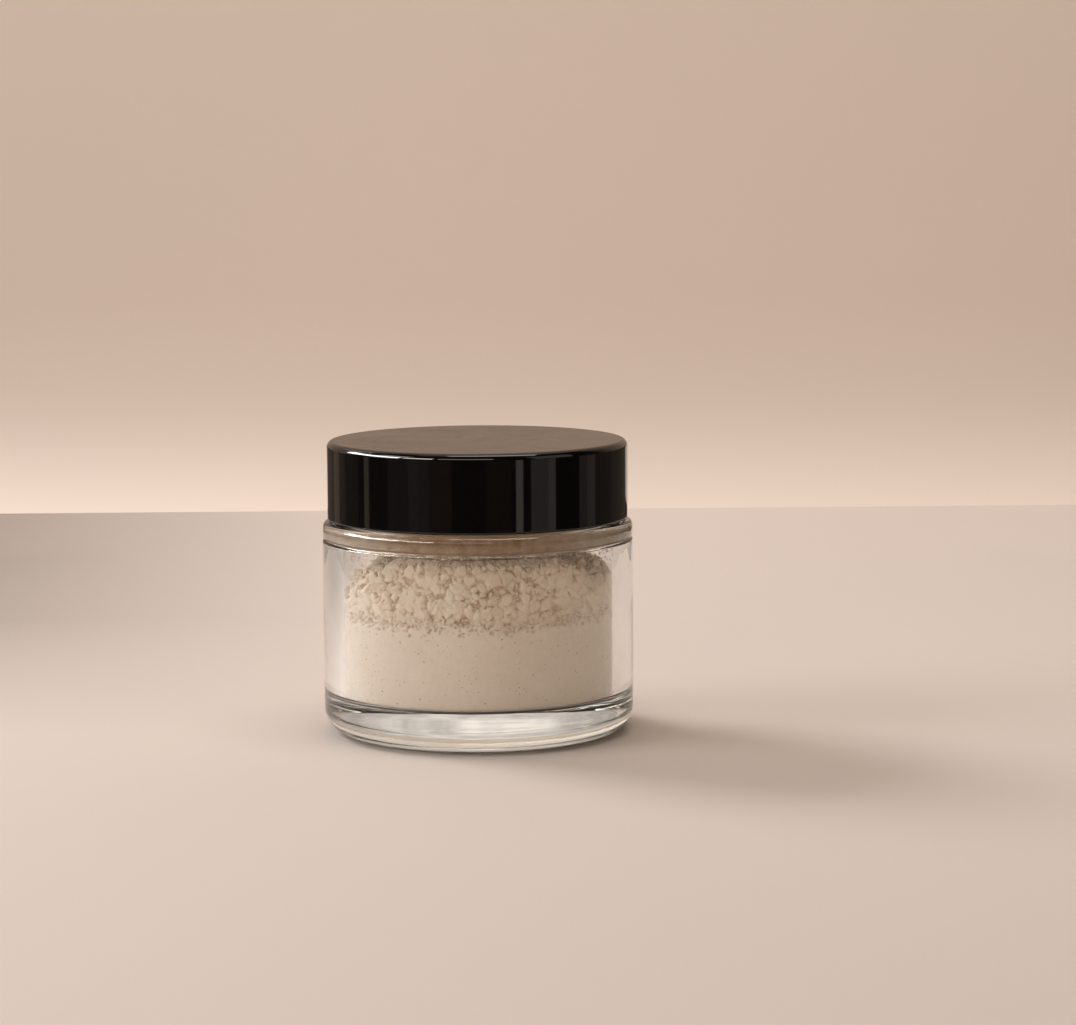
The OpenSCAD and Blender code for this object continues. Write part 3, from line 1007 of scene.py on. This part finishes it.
def make_liner():
    """The sealing disc, with the shallow ring that the rim presses into it."""
    r, lo, hi = LINER_HI[0], LINER_LO[2], LINER_HI[2]
    under = [(0, lo)] + [(x, lo) for x in (6, 12, 18, BORE_R - 0.4)]
    for t in np.linspace(0, 1, 13):
        under.append((BORE_R - 0.2 + t * (NECK_R - BORE_R + 0.4), lo + 0.16 * math.sin(math.pi * t) ** 0.7))
    under += [(NECK_R + 0.4, lo)]
    prof = under + arc(r - 0.25, lo + 0.25, 0.25, -90, 0, 5) + arc(r - 0.25, hi - 0.25, 0.25, 0, 90, 5) + [(18, hi), (9, hi), (0, hi)]
    ob = lathe("sealing_disc", prof, 256)
    give(ob, LINER)
    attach(ob, "liner")
    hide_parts("cap_liner")
    return ob


make_glass()
make_bed()
make_clumps()
make_pressed()
make_dust()
make_film()
make_cap()
make_liner()
give(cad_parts["cap_insert"], INSERT)
for other in ("glass_jar", "powder_bed", "powder_clumps", "cap_shell", "cap_liner"):
    give(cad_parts[other], {"glass_jar": GLASS, "powder_bed": BED, "powder_clumps": CLUMP, "cap_shell": CAP, "cap_liner": LINER}[other])


# ---------------------------------------------------------------- stage
def stage_material(name, colour, rough=0.75, back_left_shade=False):
    m = Mat(name)
    v = m.coords(1.0)
    n = m.noise(v, 3.0, 3.0, 0.5)
    col = m.mix(m.gray(n, [(0.3, 0.0), (0.7, 1.0)]), colour, tuple(c * 0.965 for c in colour))
    if back_left_shade:  # painted shade: darker behind on the left
        p = m.node("SeparateXYZ")
        m.link(v, p.inputs[0])
        left = m.gray(m.math("MULTIPLY", p.outputs["X"], -4.0), [(0.10, 0.0), (0.60, 1.0)])
        back = m.gray(m.math("MULTIPLY", p.outputs["Y"], 4.0), [(0.0, 0.0), (0.60, 1.0)])
        col = m.mix(m.math("MULTIPLY", left, back), col, tuple(c * f for c, f in zip(colour, (0.50, 0.48, 0.46))))
    b = m.bsdf(Base_Color=col, Roughness=rough, Specular_IOR_Level=0.25)
    m.link(b.outputs[0], m.out.inputs["Surface"])
    return m.m


FLOOR = stage_material("stage_floor", (0.60, 0.515, 0.455), back_left_shade=True)
WALL = stage_material("stage_wall", (0.70, 0.59, 0.51))


def sheet(name, xs, prof, material, mirrored=True):
    """Part of the floor and the wall: a profile of (y, z) points run along x."""
    v = [(x, y, z) for y, z in prof for x in xs]
    n = len(xs)
    f = [[i * n + j, i * n + j + 1, (i + 1) * n + j + 1, (i + 1) * n + j] for i in range(len(prof) - 1) for j in range(n - 1)]
    ob = fast_mesh(name, v, [np.array(f)])
    give(ob, material)
    ob.visible_glossy = mirrored
    return ob


# A pale floor that curves up into a wall. The cap mirrors only the floor near it
# and the part behind it, so its side stays dark, as beside a dark room.
WALL_Y, BEND, FAR, NEAR, WIDE = 430.0, 60.0, 230.0, -235.0, 1500.0
curve = [(WALL_Y - BEND + BEND * math.sin(a), BEND - BEND * math.cos(a)) for a in np.linspace(0, math.pi / 2, 13)]
wall = sheet("stage_wall", np.linspace(-WIDE, WIDE, 9), curve + [(WALL_Y, 900.0)], WALL)
wall.visible_shadow = False  # the key light stands behind it
sheet("stage_floor_near", [-245, 245], [(NEAR, 0), (FAR, 0)], FLOOR)
sheet("stage_floor_behind", [-120, 120], [(FAR, 0), (WALL_Y - BEND, 0)], FLOOR)
for i, (x0, x1, y0, y1) in enumerate((
    (-WIDE, WIDE, -1500, NEAR), (-WIDE, -245, NEAR, FAR), (245, WIDE, NEAR, FAR),
    (-WIDE, -120, FAR, WALL_Y - BEND), (120, WIDE, FAR, WALL_Y - BEND),
)):
    sheet(f"stage_floor_far_{i}", [x0, x1], [(y0, 0), (y1, 0)], FLOOR, mirrored=False)


def card(i, az0, az1, strength, colour, low=0.0, high=60.0, dist=300.0, rays="glossy", soft=False):
    """A strip of light that only the cap and the glass mirror, az degrees round
    from the front to the right."""
    m = Mat(f"stage_card_{i}")
    e = m.node("Emission")
    e.inputs["Color"].default_value = (*colour, 1)
    e.inputs["Strength"].default_value = strength
    if soft:  # uneven, and dimmer to both sides
        v = m.coords(1000.0)
        p = m.node("SeparateXYZ")
        m.link(v, p.inputs[0])
        side = m.gray(m.math("MULTIPLY", m.math("ABSOLUTE", p.outputs["X"]), 0.004), [(0.10, 1.0), (0.95, 0.42)])
        cloud = m.gray(m.noise(v, 0.022, 3.0, 0.6), [(0.36, 0.66), (0.62, 1.0)])
        m.link(m.math("MULTIPLY", m.math("MULTIPLY", side, cloud), strength), e.inputs["Strength"])
    m.link(e.outputs[0], m.out.inputs["Surface"])
    pts = []
    for z in (low, high):
        for k in range(5):
            a = math.radians(az0 + (az1 - az0) * k / 4)
            pts.append((dist * math.sin(a), -dist * math.cos(a), z))
    ob = fast_mesh(f"stage_card_{i}", pts, [np.array([[k, k + 1, k + 6, k + 5] for k in range(4)])])
    give(ob, m.m)
    for kind in ("camera", "diffuse", "glossy", "transmission", "shadow", "volume_scatter"):
        setattr(ob, "visible_" + kind, kind == rays)


GREY, TAN, RUST = (1.0, 0.86, 0.78), (1.0, 0.76, 0.58), (1.0, 0.55, 0.40)
for i, spec in enumerate((
    (27.8, 33, 0.75, GREY), (39, 53, 0.31, GREY), (53, 58.6, 0.46, GREY), (6.5, 24.5, 0.05, TAN),
    (80, 88, 0.17, GREY), (88, 96.8, 0.26, GREY), (96.8, 107.8, 0.09, TAN), (107.8, 118, 0.08, TAN), (118, 131.8, 0.10, TAN), (131.8, 152, 0.10, TAN),
    (-68.5, -51, 0.085, GREY), (-51, -43, 0.15, GREY), (-43, -35, 0.12, GREY), (-35, -18.5, 0.10, RUST),
    (-91.5, -86.5, 0.42, TAN), (-116, -98, 0.065, TAN), (-125.5, -116, 0.12, TAN), (-136, -125.5, 0.27, TAN), (-160, -136, 0.12, TAN),
)):
    card(i, *spec)
# a window, high to the left, that the rounded edges catch
card(30, -118, -62, 30.0, (1.0, 0.93, 0.86), 190.0, 330.0, 520.0)
card(31, -58, -34, 15.0, (1.0, 0.86, 0.74), 200.0, 330.0, 520.0)
card(32, -30, 12, 4.0, (1.0, 0.82, 0.68), 220.0, 330.0, 520.0)
# the top of the cap mirrors the wall where it is dimmer
card(41, 125, 235, 0.44, (1.0, 0.72, 0.53), 50.0, 420.0, 410.0)
# the bright wall that the thick base gathers
card(40, 132, 228, 0.92, (1.0, 0.865, 0.80), 40.0, 190.0, 300.0, "transmission", soft=True)


def area(name, loc, target, size, power, colour=(1, 1, 1), size_y=None, spread=math.pi):
    d = bpy.data.lights.new(name, "AREA")
    d.energy = power
    d.color = colour
    d.shape = "RECTANGLE" if size_y else "SQUARE"
    d.size = size
    if size_y:
        d.size_y = size_y
    d.spread = spread
    o = bpy.data.objects.new(name, d)
    bpy.context.scene.collection.objects.link(o)
    o.location = loc
    o.rotation_mode = "QUATERNION"
    o.rotation_quaternion = (Vector(target) - Vector(loc)).to_track_quat("-Z", "Y")
    return o


KEY, SOFT = (0.97, 0.98, 1.0), (1.0, 0.88, 0.76)
area("key_left", (-1.38, 1.12, 1.22), (0, 0, 0.03), 0.75, 33.0, KEY, 0.75)
area("side_left", (-0.95, -0.25, 0.55), (0, 0, 0.03), 0.5, 4.6, KEY, 0.7)
area("fill_front", (-0.22, -0.78, 0.16), (0, 0, 0.03), 0.6, 1.45, SOFT, 0.2).visible_glossy = False
area("top_soft", (0.05, 0.15, 0.95), (0, 0, 0.03), 0.8, 1.3, SOFT, 0.8)
area("fill_right", (0.80, -0.45, 0.45), (0, 0, 0.03), 0.6, 0.8, SOFT, 0.6)
area("wall_glow", (0.10, -0.05, 0.75), (0.1, 0.43, 0.22), 0.5, 2.0, (1.0, 0.96, 0.93), 0.3)

world = bpy.data.worlds.new("stage_world")
bpy.context.scene.world = world
world.use_nodes = True
nt = world.node_tree
nt.nodes.clear()
wout = nt.nodes.new("ShaderNodeOutputWorld")
path = nt.nodes.new("ShaderNodeLightPath")


def background(colour, strength):
    n = nt.nodes.new("ShaderNodeBackground")
    n.inputs["Color"].default_value = (*colour, 1)
    n.inputs["Strength"].default_value = strength
    return n.outputs[0]


def choose(ray, no, yes):
    n = nt.nodes.new("ShaderNodeMixShader")
    nt.links.new(path.outputs[ray], n.inputs[0])
    nt.links.new(no, n.inputs[1])
    nt.links.new(yes, n.inputs[2])
    return n.outputs[0]


sky = background((0.95, 0.79, 0.64), 0.13)  # what lights the powder and the floor
sky = choose("Is Glossy Ray", sky, background((0.9, 0.8, 0.75), 0.012))
sky = choose("Is Transmission Ray", sky, background((0.70, 0.60, 0.51), 0.8))
sky = choose("Is Camera Ray", sky, background((0.66, 0.55, 0.46), 0.9))
nt.links.new(sky, wout.inputs["Surface"])

# ---------------------------------------------------------------- camera
cam_data = bpy.data.cameras.new("camera")
cam_data.sensor_width = 36.0
cam_data.sensor_fit = "HORIZONTAL"
cam_data.lens = 118.0
cam_data.clip_start = 0.05
cam_data.clip_end = 20.0
cam = bpy.data.objects.new("camera", cam_data)
bpy.context.scene.collection.objects.link(cam)
pitch, yaw, roll = math.radians(6.879), math.radians(0.989), math.radians(0.35)
forward = Vector((math.sin(yaw) * math.cos(pitch), math.cos(yaw) * math.cos(pitch), -math.sin(pitch)))
cam.location = (0.0, -0.700, 0.1281)
cam.rotation_mode = "QUATERNION"
cam.rotation_quaternion = (Matrix.Rotation(roll, 4, forward) @ forward.to_track_quat("-Z", "Y").to_matrix().to_4x4()).to_quaternion()
bpy.context.scene.camera = cam

scene = bpy.context.scene
scene.view_settings.view_transform = "Standard"
scene.view_settings.look = "None"
scene.view_settings.exposure = 0.0
scene.view_settings.gamma = 1.0
